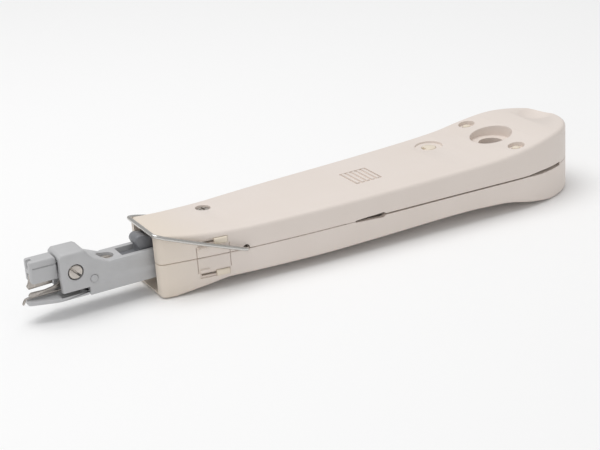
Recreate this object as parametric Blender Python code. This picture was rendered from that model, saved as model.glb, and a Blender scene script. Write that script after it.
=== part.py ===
"""Punch down tool with a cutting head, two fold-out blades, a wire bail and a cut lock.

Lengths are in millimetres, measured from the front of the handle (+X runs to its rear end) and
from the plane where the two shells meet. MM turns them into metres when a mesh is made, and the
root empty moves the whole tool so that its box stands centred on the origin.
"""

import math

import bmesh
import bpy
import numpy as np
from mathutils import Matrix, Vector

MM = 0.001

# Handle
LENGTH = 140.0
REST_Z = -10.1  # the plane the tool lies on
GAP = 0.3  # between pieces that touch
WALL = 1.8
ROOF = 1.4
EDGE = 1.3  # rounding of the handle's long edges
FRONT_HALF_WIDTH = 7.6
FRONT_CORNER = 1.5
SIDE_POINTS = ((0, 9.05), (15, 11.8), (30, 13.65), (50, 15.05), (90, 16.5), (114, 17.5))
TOP_POINTS = ((0, 8.7), (12, 7.2), (26, 6.45), (60, 6.55), (90, 7.0), (105, 7.55), (116, 8.85),
              (128, 10.4), (140, 10.7))
FRONT_FOOT_END = 4.0
BOTTOM_POINTS = ((FRONT_FOOT_END, REST_Z), (14, -8.4), (20, -7.45), (45, -7.5), (70, -7.0),
                 (95, -6.4), (109, -6.9), (118, -8.7), (126, REST_Z))
BULB_X = 114.0  # the widest place, where the round rear end starts
BULB_POWER = 2.3
REAR_CORNER_STEPS = 14

# Hanging hole and the two fold-out tools
HANG_X = 116.0
HANG_R = 3.8
HANG_SEAT_R = 6.4
HANG_SEAT_Z = 6.4
FOLD_X = 116.0
FOLD_Y = 12.8
FOLD_PIN_R = 1.2
FOLD_HUB_R = 2.6
FOLD_THICK = 0.5
FOLD_LENGTH = 54.0
SLOT_FRONT_X = 58.0
SLOT_REAR_X = 131.0
NICK_REAR_X = 67.5
REAR_SLOT_X = 118.0
SLOT_HEIGHT = 0.9
NICK_HEIGHT = 1.2

# Screws of the handle
FRONT_SCREW = (21.5, 7.0)
REAR_SCREW = (98.2, 7.4)
DISH_R = 4.2
PLUG_R = 2.2

# Head
HEAD_TRAVEL = 5.0
ARM_Y = 4.4
ARM_TOP = 3.3
ARM_BOTTOM = -5.0
ARM_REAR = 36.0
CHANNEL_Y = 2.8
CHANNEL_FLOOR = -3.5
CHANNEL_FRONT = -7.7
BLOCK_FRONT = -26.0
BLOCK_TOP = 8.3
BLOCK_BOTTOM = -2.6
JAW_GAP_REAR = -18.4
NOSE_FRONT = -33.6
NOSE_Y = 2.3
NOSE_TOP = 7.7
NOSE_BOTTOM = 1.4
CLAMP_SCREW = (-21.8, 2.6)
JAW_PIVOT = (-16.9, -0.45)
ADJUSTER_X = -11.7
JAW_TOP = -3.45
JAW_BOTTOM = -4.7
LATCH_PIVOT = (7.5, -0.4)

# Spring
ROD_R = 2.0
ROD_REAR = 62.0
SPRING_R = 3.4
SPRING_WIRE_R = 0.55
SPRING_TURNS = 9
LATCH_WIRE_R = 0.18
SEAT_FRONT = 67.8
SEAT_THICK = 1.4
STOP_PIN_X = 26.0

# Bail and cut lock
BAIL_PIVOT = (24.5, 0.3)
BAIL_REACH = 26.4
BAIL_RISE = math.radians(18.6)
BAIL_FOOT_Y = 14.5
BAIL_FRONT_Y = 9.2
BAIL_BOW = 0.8
BAIL_WIRE_R = 0.5
LOCK_X = 17.3  # middle of the thumb tabs
LOCK_TAB_HALF = 1.9
LOCK_TAB_HEIGHTS = ((3.3, 5.1), (-5.6, -4.2))
LOCK_STANDS_OUT = 0.6
LOCK_TRAVEL = 4.0
LOCK_TURN = math.radians(9)  # the slider runs along the side wall, which widens to the rear

CUTTER_TIP_X = -36.3
ROOT_SHIFT = Vector((-(CUTTER_TIP_X + LENGTH) / 2, 0, -REST_Z))

BODY_PIVOTS = {
    "handle": (0, 0, 0),
    "head": (ARM_REAR, 0, 0),
    "jaw": (JAW_PIVOT[0], 0, JAW_PIVOT[1]),
    "latch": (LATCH_PIVOT[0], 0, LATCH_PIVOT[1]),
    "bail": (BAIL_PIVOT[0], 0, BAIL_PIVOT[1]),
    "cut_lock": (LOCK_X, -10, 0),
    "release_blade": (FOLD_X, -FOLD_Y, 0),
    "wire_hook": (FOLD_X, FOLD_Y, 0),
}
BODY_PARENTS = {"head": "handle", "jaw": "head", "latch": "head", "bail": "handle",
                "cut_lock": "handle", "release_blade": "handle", "wire_hook": "handle"}

MATERIALS = {
    "cream_plastic": ((0.74, 0.69, 0.63, 1), 0.45, 0.0),
    "grey_plastic": ((0.42, 0.42, 0.43, 1), 0.4, 0.0),
    "dark_plastic": ((0.16, 0.165, 0.175, 1), 0.45, 0.0),
    "steel": ((0.62, 0.6, 0.58, 1), 0.28, 1.0),
    "spring_steel": ((0.5, 0.5, 0.52, 1), 0.35, 1.0),
}


def clear_scene():
    for obj in list(bpy.data.objects):
        bpy.data.objects.remove(obj, do_unlink=True)


def make_materials():
    made = {}
    for name, (colour, roughness, metallic) in MATERIALS.items():
        material = bpy.data.materials.new(name)
        material.use_nodes = True
        shader = material.node_tree.nodes["Principled BSDF"]
        shader.inputs["Base Color"].default_value = colour
        shader.inputs["Roughness"].default_value = roughness
        shader.inputs["Metallic"].default_value = metallic
        made[name] = material
    return made


def make_empties():
    """One empty for each moving body, on its joint's axis."""
    empties = {}
    for body, pivot in BODY_PIVOTS.items():
        empty = bpy.data.objects.new(body + "_axis", None)
        empty.empty_display_size = 5 * MM
        bpy.context.collection.objects.link(empty)
        parent = BODY_PARENTS.get(body)
        if parent is None:
            empty.location = (ROOT_SHIFT + Vector(pivot)) * MM
        else:
            empty.parent = empties[parent]
            empty.location = (Vector(pivot) - Vector(BODY_PIVOTS[parent])) * MM
        empties[body] = empty
    return empties


# Curves through a few points -----------------------------------------------------------------

def smooth_curve(points):
    """A function that runs smoothly through the points, with no bulge between them."""
    xs = np.array([point[0] for point in points], float)
    ys = np.array([point[1] for point in points], float)
    rise = np.diff(ys) / np.diff(xs)
    slope = np.zeros(len(xs))
    slope[0] = rise[0]
    slope[-1] = rise[-1]
    for i in range(1, len(xs) - 1):
        if rise[i - 1] * rise[i] > 0:
            slope[i] = 2 * rise[i - 1] * rise[i] / (rise[i - 1] + rise[i])

    def value(x):
        x = min(max(x, xs[0]), xs[-1])
        i = min(int(np.searchsorted(xs, x, "right")) - 1, len(xs) - 2)
        step = xs[i + 1] - xs[i]
        t = (x - xs[i]) / step
        return float(
            ys[i] * (2 * t ** 3 - 3 * t ** 2 + 1) + slope[i] * step * (t ** 3 - 2 * t ** 2 + t)
            + ys[i + 1] * (3 * t ** 2 - 2 * t ** 3) + slope[i + 1] * step * (t ** 3 - t ** 2))

    return value


side_width = smooth_curve(SIDE_POINTS)
top_height = smooth_curve(TOP_POINTS)
bottom_height = smooth_curve(BOTTOM_POINTS)


def handle_outline(round_front):
    """(x, half width) pairs from the front of the handle to its rear end."""
    pairs = [] if round_front else [(0, side_width(0))]
    for angle in (0, 30, 60, 90) if round_front else ():
        turn = math.radians(angle)
        x = FRONT_CORNER * (1 - math.cos(turn))
        blend = math.sin(turn)
        pairs.append((x, FRONT_HALF_WIDTH + (side_width(x) - FRONT_HALF_WIDTH) * blend))
    pairs += [(x, side_width(x)) for x in np.arange(FRONT_FOOT_END, BULB_X - 1, 5)]
    widest = side_width(BULB_X)
    for i in range(REAR_CORNER_STEPS + 1):
        turn = math.pi / 2 * (1 - i / REAR_CORNER_STEPS)
        along = math.cos(turn) ** (2 / BULB_POWER)
        across = math.sin(turn) ** (2 / BULB_POWER) if i < REAR_CORNER_STEPS else 0
        pairs.append((BULB_X + (LENGTH - BULB_X) * along, widest * across))
    return pairs


def inset_pairs(pairs, distance):
    """The outline moved inwards, with its points still in pairs across the handle."""
    moved = []
    for i, (x, width) in enumerate(pairs):
        before = pairs[max(i - 1, 0)]
        after = pairs[i + 1] if i + 1 < len(pairs) else (x, -pairs[i - 1][1])
        along = Vector((after[0] - before[0], after[1] - before[1])).normalized()
        inward = Vector((along.y, -along.x)) * distance
        if i == 0:
            inward = Vector((distance, -distance))
        moved.append((x + inward.x, max(width + inward.y, 0)))
    return moved


# Mesh makers, in millimetres -------------------------------------------------------------------

def loft(bm, rings):
    """Joins rings of points by bands of quads, and returns their vertices ring by ring."""
    rows = [[bm.verts.new(point) for point in ring] for ring in rings]
    count = len(rows[0])
    for low, high in zip(rows, rows[1:]):
        for i in range(count):
            j = (i + 1) % count
            bm.faces.new((low[i], low[j], high[j], high[i]))
    return rows


def half_handle(sign, inset, thinner, start):
    """The upper (sign 1) or lower (sign -1) half of the handle as a solid, made smaller on its
    sides by inset and on its broad face by thinner. start is the height of its flat face."""
    surface = top_height if sign > 0 else bottom_height
    bm = bmesh.new()
    pairs = handle_outline(round_front=inset == 0)
    levels = [(0.0, None)] + [(EDGE * (1 - math.cos(turn)), EDGE * (1 - math.sin(turn)))
                              for turn in np.radians((0, 30, 60, 90))]
    rings = []
    for side_in, below in levels:
        ring = inset_pairs(pairs, inset + side_in)
        points = []
        for (x, width), (outline_x, _) in zip(ring, pairs):
            height = start if below is None else surface(outline_x) - sign * (thinner + below)
            points.append((x, width, height))
        tip = points[-1]
        far = points[:-1]
        near = [(x, -width, height) for x, width, height in reversed(far)]
        rings.append(far + [(tip[0], 0, tip[2])] + near)
    rows = loft(bm, rings)
    count = len(rows[0])
    for row in (rows[0], rows[-1]):
        half = count // 2
        for i in range(half - 1):
            bm.faces.new((row[i], row[i + 1], row[count - 2 - i], row[count - 1 - i]))
        bm.faces.new((row[half - 1], row[half], row[half + 1]))
    return bm


def box(x, y, z):
    """A box between the two values given for each axis."""
    bm = bmesh.new()
    size = Vector((x[1] - x[0], y[1] - y[0], z[1] - z[0]))
    centre = Vector((x[0] + x[1], y[0] + y[1], z[0] + z[1])) / 2
    place = Matrix.Translation(centre) @ Matrix.Diagonal((*size, 1))
    bmesh.ops.create_cube(bm, size=1, matrix=place)
    return bm


def cylinder(axis, centre, radius, span, segments=24):
    """A cylinder along an axis. centre gives the other two coordinates in X, Y, Z order."""
    bm = bmesh.new()
    depth = span[1] - span[0]
    middle = (span[0] + span[1]) / 2
    places = {"X": (middle, centre[0], centre[1]), "Y": (centre[0], middle, centre[1]),
              "Z": (centre[0], centre[1], middle)}
    turns = {"X": Matrix.Rotation(math.pi / 2, 4, "Y"),
             "Y": Matrix.Rotation(-math.pi / 2, 4, "X"), "Z": Matrix.Identity(4)}
    bmesh.ops.create_cone(
        bm, cap_ends=True, segments=segments, radius1=radius, radius2=radius, depth=depth,
        matrix=Matrix.Translation(places[axis]) @ turns[axis])
    return bm


def plate(points, axis, span):
    """A flat outline extruded along an axis. points are in the plane of the other two axes."""
    def place(a, b):
        return {"Y": (a, span[0], b), "Z": (a, b, span[0])}[axis]

    bm = bmesh.new()
    face = bm.faces.new([bm.verts.new(place(a, b)) for a, b in points])
    step = {"Y": Vector((0, span[1] - span[0], 0)), "Z": Vector((0, 0, span[1] - span[0]))}[axis]
    grown = bmesh.ops.extrude_face_region(bm, geom=[face])["geom"]
    bmesh.ops.translate(bm, vec=step, verts=[v for v in grown if isinstance(v, bmesh.types.BMVert)])
    return bm


def tube(points, radius, sides):
    """A round wire along the points."""
    bm = bmesh.new()
    points = [Vector(point) for point in points]
    tangents = [(points[min(i + 1, len(points) - 1)] - points[max(i - 1, 0)]).normalized()
                for i in range(len(points))]
    normal = tangents[0].orthogonal().normalized()
    rings = []
    for i, (point, tangent) in enumerate(zip(points, tangents)):
        if i:
            normal = (tangents[i - 1].rotation_difference(tangent) @ normal).normalized()
        side = tangent.cross(normal)
        rings.append([point + radius * (normal * math.cos(turn) + side * math.sin(turn))
                      for turn in np.linspace(0, 2 * math.pi, sides, endpoint=False)])
    rows = loft(bm, rings)
    bm.faces.new(rows[0])
    bm.faces.new(rows[-1])
    return bm


def arc(centre, radius, start, end, steps):
    """Points of an arc, angles in degrees."""
    return [(centre[0] + radius * math.cos(turn), centre[1] + radius * math.sin(turn))
            for turn in np.radians(np.linspace(start, end, steps))]


# Objects ---------------------------------------------------------------------------------------

class Tool:
    """Makes the pieces, each in its body, with its material and its cuts."""

    def __init__(self):
        clear_scene()
        self.materials = make_materials()
        self.empties = make_empties()

    def mesh_object(self, name, bm, body):
        pivot = Vector(BODY_PIVOTS[body])
        bmesh.ops.translate(bm, vec=-pivot, verts=bm.verts)
        bmesh.ops.scale(bm, vec=(MM, MM, MM), verts=bm.verts)
        bmesh.ops.recalc_face_normals(bm, faces=bm.faces)
        mesh = bpy.data.meshes.new(name)
        bm.to_mesh(mesh)
        bm.free()
        obj = bpy.data.objects.new(name, mesh)
        bpy.context.collection.objects.link(obj)
        obj.parent = self.empties[body]
        return obj

    def piece(self, name, bm, body, material, bevel=0.0):
        obj = self.mesh_object(name, bm, body)
        obj.data.materials.append(self.materials[material])
        obj.data.shade_smooth()
        obj.data.set_sharp_from_angle(angle=math.radians(32))
        if bevel:
            edge = obj.modifiers.new("edges", "BEVEL")
            edge.width = bevel * MM
            edge.segments = 2
            edge.limit_method = "ANGLE"
            edge.angle_limit = math.radians(40)
        return obj

    def helper(self, name, bm, body):
        obj = self.mesh_object(name, bm, body)
        obj.hide_render = True
        obj.display_type = "WIRE"
        return obj

    def combine(self, obj, operation, bms, body, label):
        for i, bm in enumerate(bms):
            modifier = obj.modifiers.new(f"{label}_{i}", "BOOLEAN")
            modifier.operation = operation
            modifier.solver = "EXACT"
            modifier.object = self.helper(f"{obj.name}_{label}_{i}", bm, body)

    def cut(self, obj, bms, body, label="cut"):
        self.combine(obj, "DIFFERENCE", bms, body, label)

    def join(self, obj, bms, body, label="add"):
        self.combine(obj, "UNION", bms, body, label)


# Handle ----------------------------------------------------------------------------------------

def kept_posts(sign):
    """What stays solid inside the handle: ribs, walls, screw posts and pivot posts."""
    reach = (0, sign * 14)
    span = (min(reach), max(reach))
    posts = [box((3, ARM_REAR), (side * 5.35 - 0.65, side * 5.35 + 0.65), span) for side in (-1, 1)]
    posts.append(box((SEAT_FRONT + SEAT_THICK + GAP, 71.5), (-7.2, 7.2), span))
    posts.append(cylinder("Z", FRONT_SCREW, 2.5, span))
    posts.append(cylinder("Z", REAR_SCREW, 3.6 if sign > 0 else 2.6, span))
    posts.append(cylinder("Z", (HANG_X, 0), HANG_SEAT_R + 1.4 if sign > 0 else HANG_R + 1.6, span, 32))
    posts += [cylinder("Z", (FOLD_X, side * FOLD_Y), 3.1, span) for side in (-1, 1)]
    if sign > 0:
        posts.append(cylinder("Z", (135, 3), 7.0, span))
    return posts


def along_wall(bm):
    """Turns a shape made beside the origin to lie along the near side wall, at the cut lock."""
    bmesh.ops.rotate(bm, cent=(0, 0, 0), matrix=Matrix.Rotation(-LOCK_TURN, 3, "Z"), verts=bm.verts)
    bmesh.ops.translate(bm, vec=(LOCK_X, -side_width(LOCK_X), 0), verts=bm.verts)
    return bm


def slider_slot(sign):
    """The slot that this shell has for one thumb tab of the cut lock."""
    low, high = LOCK_TAB_HEIGHTS[0 if sign > 0 else 1]
    run = (-LOCK_TAB_HALF - LOCK_TRAVEL - 1, LOCK_TAB_HALF + GAP)
    return along_wall(box(run, (-2, 2.6), (low - GAP, high + GAP)))


def fold_out_slots():
    """The slits in the parting line through which the fold-out tools swing, in both walls."""
    cutters = []
    for side in (-1, 1):
        y = sorted((side * 9.5, side * 20))
        cutters.append(box((SLOT_FRONT_X, SLOT_REAR_X), y, (-SLOT_HEIGHT / 2, SLOT_HEIGHT / 2)))
        for x in ((SLOT_FRONT_X, NICK_REAR_X), (REAR_SLOT_X, SLOT_REAR_X)):
            cutters.append(box(x, y, (-NICK_HEIGHT / 2, NICK_HEIGHT / 2)))
    return cutters


def make_shell(tool, name, sign):
    shell = tool.piece(name, half_handle(sign, 0, 0, sign * GAP / 2), "handle", "cream_plastic")
    hollow = tool.helper(name + "_hollow", half_handle(sign, WALL, ROOF, -sign * 1.0), "handle")
    tool.cut(hollow, kept_posts(sign), "handle", "post")
    carve = shell.modifiers.new("hollow", "BOOLEAN")
    carve.operation = "DIFFERENCE"
    carve.object = hollow
    mouth = box((-1, 6.5), (-6.2, 6.2), (0, 7.3)) if sign > 0 else box((-1, 4), (-6.2, 6.2), (-8.8, 0))
    cutters = [mouth]
    cutters += [slider_slot(sign)] + fold_out_slots()
    cutters.append(cylinder("Y", (STOP_PIN_X, 0), 1.2, (-5.8, 5.8)))
    cutters += [cylinder("Y", BAIL_PIVOT, 1.1, sorted((side * 9, side * 17))) for side in (-1, 1)]
    cutters.append(cylinder("Z", (HANG_X, 0), HANG_R, (-15, 15), 32))
    for side in (-1, 1):
        place = (FOLD_X, side * FOLD_Y)
        cutters.append(cylinder("Z", place, 3.6, (-0.6, 0.6)))
        cutters.append(cylinder("Z", place, FOLD_PIN_R + GAP, (-7.0, 12)))
    if sign > 0:
        cutters += top_only_cutters()
    else:
        cutters += [cylinder("Z", FRONT_SCREW, 1.3, (-6.3, 1)),
                    cylinder("Z", REAR_SCREW, 1.3, (-5.3, 1))]
    tool.cut(shell, cutters, "handle")
    if sign > 0:
        tool.join(shell, pocket_walls(), "handle")


def pocket_walls():
    """The inner walls of the fold-out tools' pockets. They reach down past the parting line."""
    walls = []
    for side in (-1, 1):
        walls.append(box((45, 94), sorted((side * 7.6, side * 8.4)), (-1.5, 5.7)))
        walls.append(box((124.8, 135.5), sorted((side * 6.2, side * 7.0)), (-1.5, 9.4)))
    return walls


def top_only_cutters():
    cutters = [cylinder("Z", (HANG_X, 0), HANG_SEAT_R, (HANG_SEAT_Z, 15), 32)]
    for side in (-1, 1):
        surface = top_height(FOLD_X)
        cutters.append(cylinder("Z", (FOLD_X, side * FOLD_Y), 2.5, (surface - 1.2, 15)))
    surface = top_height(FRONT_SCREW[0])
    cutters += [cylinder("Z", FRONT_SCREW, 2.2, (surface - 1.6, 10)),
                cylinder("Z", FRONT_SCREW, 1.3, (-1, 10))]
    surface = top_height(REAR_SCREW[0])
    cutters += [cylinder("Z", REAR_SCREW, DISH_R, (surface - 0.8, 10), 32),
                cylinder("Z", REAR_SCREW, PLUG_R + GAP, (surface - 4.2, 10)),
                cylinder("Z", REAR_SCREW, 1.3, (-1, 10))]
    scoop = bmesh.new()
    bmesh.ops.create_uvsphere(scoop, u_segments=24, v_segments=16, radius=10.9,
                              matrix=Matrix.Translation((135.5, 3.5, 19.9)))
    cutters.append(scoop)
    return cutters


def screw(x, y, head_top, head_r, head_height, shank_r, end_z):
    """The shank of an upright screw, and its head in a list to join on."""
    shank = cylinder("Z", (x, y), shank_r, (end_z, head_top - head_height / 2), 16)
    return shank, [cylinder("Z", (x, y), head_r, (head_top - head_height, head_top), 24)]


def make_handle_fittings(tool):
    surface = top_height(FRONT_SCREW[0])
    for name, (x, y), head_top, low in (
            ("front_case_screw", FRONT_SCREW, surface - 0.35, -5.8),
            ("rear_case_screw", REAR_SCREW, top_height(REAR_SCREW[0]) - 2.7, -4.8)):
        shank, heads = screw(x, y, head_top, 1.9, 1.0, 1.0, low)
        obj = tool.piece(name, shank, "handle", "steel")
        tool.join(obj, heads, "handle")
        cross = [box((x - 1.2, x + 1.2), (y - 0.2, y + 0.2), (head_top - 0.4, head_top + 1)),
                 box((x - 0.2, x + 0.2), (y - 1.2, y + 1.2), (head_top - 0.45, head_top + 1))]
        tool.cut(obj, cross, "handle")
    plug_top = top_height(REAR_SCREW[0]) - 0.5
    plug = tool.piece("screw_cover_plug", cylinder("Z", REAR_SCREW, PLUG_R, (plug_top - 1.6, plug_top)),
                      "handle", "cream_plastic", bevel=0.2)
    notch_x = REAR_SCREW[0] - PLUG_R
    tool.cut(plug, [box((notch_x - 1, notch_x + 0.7), (REAR_SCREW[1] - 0.8, REAR_SCREW[1] + 0.8),
                        (plug_top - 0.8, plug_top + 1))], "handle")
    for name, side in (("blade_pivot_pin", -1), ("hook_pivot_pin", 1)):
        pin = cylinder("Z", (FOLD_X, side * FOLD_Y), FOLD_PIN_R, (-6.7, top_height(FOLD_X) - 0.5), 20)
        tool.piece(name, pin, "handle", "cream_plastic", bevel=0.2)
    stop = cylinder("Y", (STOP_PIN_X, 0), 0.9, (-5.5, 5.5), 20)
    tool.piece("travel_stop_pin", stop, "handle", "steel")
    washer = cylinder("X", (0, 0), 4.3, (SEAT_FRONT, SEAT_FRONT + SEAT_THICK), 28)
    seat = tool.piece("spring_seat", washer, "handle", "steel")
    tool.cut(seat, [cylinder("X", (0, 0), ROD_R + 0.6, (60, 75))], "handle")


# Head ------------------------------------------------------------------------------------------

def make_arm(tool):
    outline = [(ARM_REAR, ARM_BOTTOM), (ARM_REAR, ARM_TOP), (-11.9, ARM_TOP), (-16.6, 5.5),
               (-18.7, BLOCK_TOP - 0.1), (-25.2, BLOCK_TOP), (BLOCK_FRONT, BLOCK_TOP - 0.8),
               (BLOCK_FRONT, BLOCK_BOTTOM), (JAW_GAP_REAR, BLOCK_BOTTOM), (JAW_GAP_REAR, ARM_BOTTOM)]
    side_plate = plate(outline, "Y", (-ARM_Y, ARM_Y))
    arm = tool.piece("head_arm", side_plate, "head", "grey_plastic", bevel=0.35)
    inside = (-CHANNEL_Y, CHANNEL_Y)
    slot_half = STOP_PIN_X - HEAD_TRAVEL - 1.2
    cuts = [
        box((CHANNEL_FRONT, 30), inside, (CHANNEL_FLOOR, 6)),
        box((-19.2, -8.6), inside, (-6, -0.3)),
        box((-19.2, -15.0), inside, (-1, 1.6)),
        box((BLOCK_FRONT - 1, -17.3), (-NOSE_Y - GAP, NOSE_Y + GAP), (-6, 6.5)),
        cylinder("Z", (ADJUSTER_X, 0), 2.35, (1.5, 5)),
        cylinder("Z", (ADJUSTER_X, 0), 1.3, (-1, 5)),
        cylinder("Y", CLAMP_SCREW, 2.25, (-6, -3.5)),
        cylinder("Y", CLAMP_SCREW, 1.5, (-6, 3.7)),
        cylinder("Y", JAW_PIVOT, 1.1, (-6, 6), 16),
        cylinder("Y", LATCH_PIVOT, 1.3, (-6, 6), 16),
        cylinder("X", (0, 0), ROD_R + GAP, (28, 40)),
        box((slot_half, STOP_PIN_X), (-6, 6), (-1.2, 1.2)),
        cylinder("Y", (slot_half, 0), 1.2, (-6, 6), 16),
        cylinder("Y", (STOP_PIN_X, 0), 1.2, (-6, 6), 16),
    ]
    tool.cut(arm, cuts, "head")


def make_nose(tool):
    front = box((NOSE_FRONT, BLOCK_FRONT - GAP), (-NOSE_Y, NOSE_Y), (NOSE_BOTTOM, NOSE_TOP))
    nose = tool.piece("nose_block", front, "head", "grey_plastic", bevel=0.3)
    tail_y = NOSE_Y - 0.1
    tail = box((BLOCK_FRONT - 2, -17.7), (-tail_y, tail_y), (NOSE_BOTTOM - 0.1, 6.1))
    tool.join(nose, [tail], "head")
    cuts = [box((NOSE_FRONT - 1, NOSE_FRONT + 1.4), (-0.7, 0.7), (5.2, 9)),
            box((NOSE_FRONT - 1, -27.0), (-0.7, 0.7), (0, 4.0)),
            cylinder("Y", CLAMP_SCREW, 1.5, (-4, 4), 20)]
    cuts += [box((NOSE_FRONT + 0.8, BLOCK_FRONT), sorted((side * (NOSE_Y - 0.3), side * 4)), (5.5, 5.9))
             for side in (-1, 1)]
    tool.cut(nose, cuts, "head")


def make_blades(tool):
    insertion = [(-34.4, 0.4), (-34.0, -0.5), (-27.3, -0.3), (-27.3, 3.7), (-33.4, 3.7), (-33.9, 1.2)]
    tool.piece("insertion_blade", plate(insertion, "Y", (-0.4, 0.4)), "head", "steel")
    fixed = [(-34.6, -1.9), (-33.8, -1.1), (-30.0, -1.2), (-26.5, -0.5), (-25.0, 0.9), (-19.8, 0.9),
             (-19.8, -1.4), (-26.0, -1.6), (-30.0, -2.1), (-33.5, -2.4)]
    tool.piece("fixed_cutter", plate(fixed, "Y", (-1.5, -0.9)), "head", "steel")


def make_head_fittings(tool):
    head = cylinder("Y", CLAMP_SCREW, 1.95, (-4.25, -3.8))
    clamp = tool.piece("head_clamp_screw", head, "head", "steel")
    tool.join(clamp, [cylinder("Y", CLAMP_SCREW, 1.1, (-4.0, 3.4), 16)], "head")
    groove = box((-3, 3), (-5, -4.05), (-0.28, 0.28))
    slant = Matrix.Rotation(math.radians(48), 3, "Y")
    bmesh.ops.rotate(groove, cent=(0, 0, 0), matrix=slant, verts=groove.verts)
    bmesh.ops.translate(groove, vec=(CLAMP_SCREW[0], 0, CLAMP_SCREW[1]), verts=groove.verts)
    tool.cut(clamp, [groove], "head")

    shank, heads = screw(ADJUSTER_X, 0, 2.7, 2.0, 0.9, 1.0, -0.1)
    adjuster = tool.piece("adjuster_screw", shank, "head", "steel")
    tool.join(adjuster, heads, "head")
    tool.cut(adjuster, [box((ADJUSTER_X - 3, ADJUSTER_X + 3), (-0.25, 0.25), (2.3, 4))], "head")

    tool.piece("jaw_pivot_pin", cylinder("Y", JAW_PIVOT, 0.8, (-4.7, 4.3), 16), "head", "grey_plastic")
    tool.piece("latch_pin", cylinder("Y", LATCH_PIVOT, 1.0, (-4.2, 4.2), 16), "head", "steel")
    rod = cylinder("X", (0, 0), ROD_R, (30.3, ROD_REAR), 20)
    tool.piece("plunger_rod", rod, "head", "steel", bevel=0.3)


def make_jaw(tool):
    tip = [(-34.9, -1.2), (-34.3, -1.8), (-27.5, -ARM_Y), (JAW_GAP_REAR - 0.4, -ARM_Y)]
    outline = tip + [(x, -y) for x, y in reversed(tip)]
    jaw = tool.piece("lower_jaw", plate(outline, "Z", (JAW_BOTTOM, JAW_TOP)), "jaw", "grey_plastic")
    tail = (-CHANNEL_Y + GAP, CHANNEL_Y - GAP)
    tool.join(jaw, [box((-20, -9.2), tail, (JAW_BOTTOM + 0.1, JAW_TOP - 0.1)),
                    box((-18.7, -15.4), tail, (-4.4, 1.0))], "jaw")
    tool.cut(jaw, [cylinder("Y", JAW_PIVOT, 1.1, (-6, 6), 16)], "jaw")
    cutter = [(CUTTER_TIP_X, -4.2), (-35.9, -3.4), (-35.4, -2.8), (-30.0, -2.4), (-24.0, -2.7),
              (-19.4, -2.7), (-19.4, JAW_TOP + GAP), (-35.2, JAW_TOP + GAP), (-35.45, -3.8),
              (-36.0, -4.6)]
    tool.piece("moving_cutter", plate(cutter, "Y", (-0.6, 0.0)), "jaw", "steel")


def make_latch(tool):
    outline = [(9.3, -1.6), (9.3, 1.0), (3.4, 1.9), (2.7, 5.9), (-0.9, 7.1), (-2.5, 7.2), (-3.4, 6.5),
               (-3.5, 5.0), (-2.4, 3.6), (-2.6, 2.0), (-7.2, 1.9), (-7.3, -1.0), (-3.0, -1.6)]
    lever = plate(outline, "Y", (-2.4, 2.4))
    latch = tool.piece("latch_lever", lever, "latch", "dark_plastic", bevel=0.3)
    tool.cut(latch, [cylinder("Y", LATCH_PIVOT, 1.3, (-6, 6), 16)], "latch")
    spring = coil((-1.0, 0), 1.3, LATCH_WIRE_R, (-3.15, -1.85), 2, "Z", 12, 0)
    tool.piece("latch_spring", spring, "head", "spring_steel")


def coil(centre, radius, wire_r, span, turns, axis, per_turn, flat_turn):
    """A compression spring between two faces. flat_turn is how much of a turn lies flat there."""
    low = span[0] + wire_r
    high = span[1] - wire_r
    points = []
    for i in range(turns * per_turn + 1):
        part = i / (turns * per_turn)
        turn = 2 * math.pi * turns * part
        flat = flat_turn / turns
        rise = min(max((part - flat) / (1 - 2 * flat), 0), 1)
        height = low + (high - low) * rise
        across = (radius * math.cos(turn), radius * math.sin(turn))
        if axis == "X":
            points.append((height, centre[0] + across[0], centre[1] + across[1]))
        else:
            points.append((centre[0] + across[0], centre[1] + across[1], height))
    return tube(points, wire_r, 6)


# Bail, cut lock and fold-out tools -------------------------------------------------------------

def make_bail(tool):
    """The wire runs in one plane through the pivots, which rises from them to the front lip."""
    corner = 1.2
    half = [(0, BAIL_FOOT_Y - 3.7), (0, BAIL_FOOT_Y - corner)]
    half += [(corner * (1 - math.cos(turn)), BAIL_FOOT_Y - corner + corner * math.sin(turn))
             for turn in np.radians((25, 50, 75))]
    half += [(2.2, BAIL_FOOT_Y)]
    for part in np.linspace(0.15, 0.9, 8):
        bow = BAIL_BOW * 4 * part * (1 - part)
        half.append((BAIL_REACH * part, BAIL_FOOT_Y + (BAIL_FRONT_Y - BAIL_FOOT_Y) * part + bow))
    bend = 1.5
    half += [(BAIL_REACH - bend + bend * math.cos(turn), BAIL_FRONT_Y - bend + bend * math.sin(turn))
             for turn in np.radians((72, 50, 28, 8))]
    flat = half + [(reach, -y) for reach, y in reversed(half)]
    forward = math.cos(BAIL_RISE)
    upward = math.sin(BAIL_RISE)
    points = [(BAIL_PIVOT[0] - reach * forward, y, BAIL_PIVOT[1] + reach * upward)
              for reach, y in flat]
    tool.piece("bail_wire", tube(points, BAIL_WIRE_R, 10), "bail", "steel")


def make_cut_lock(tool):
    heights = (LOCK_TAB_HEIGHTS[1][0] + 0.1, LOCK_TAB_HEIGHTS[0][1] - 0.5)
    back = box((-7.6, 3.2), (2.3, 3.3), heights)
    slider = tool.piece("cut_lock_slider", along_wall(back), "cut_lock", "cream_plastic")
    tabs = [along_wall(box((-LOCK_TAB_HALF, LOCK_TAB_HALF), (-LOCK_STANDS_OUT, 2.8), height))
            for height in LOCK_TAB_HEIGHTS]
    tool.join(slider, tabs, "cut_lock")


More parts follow.
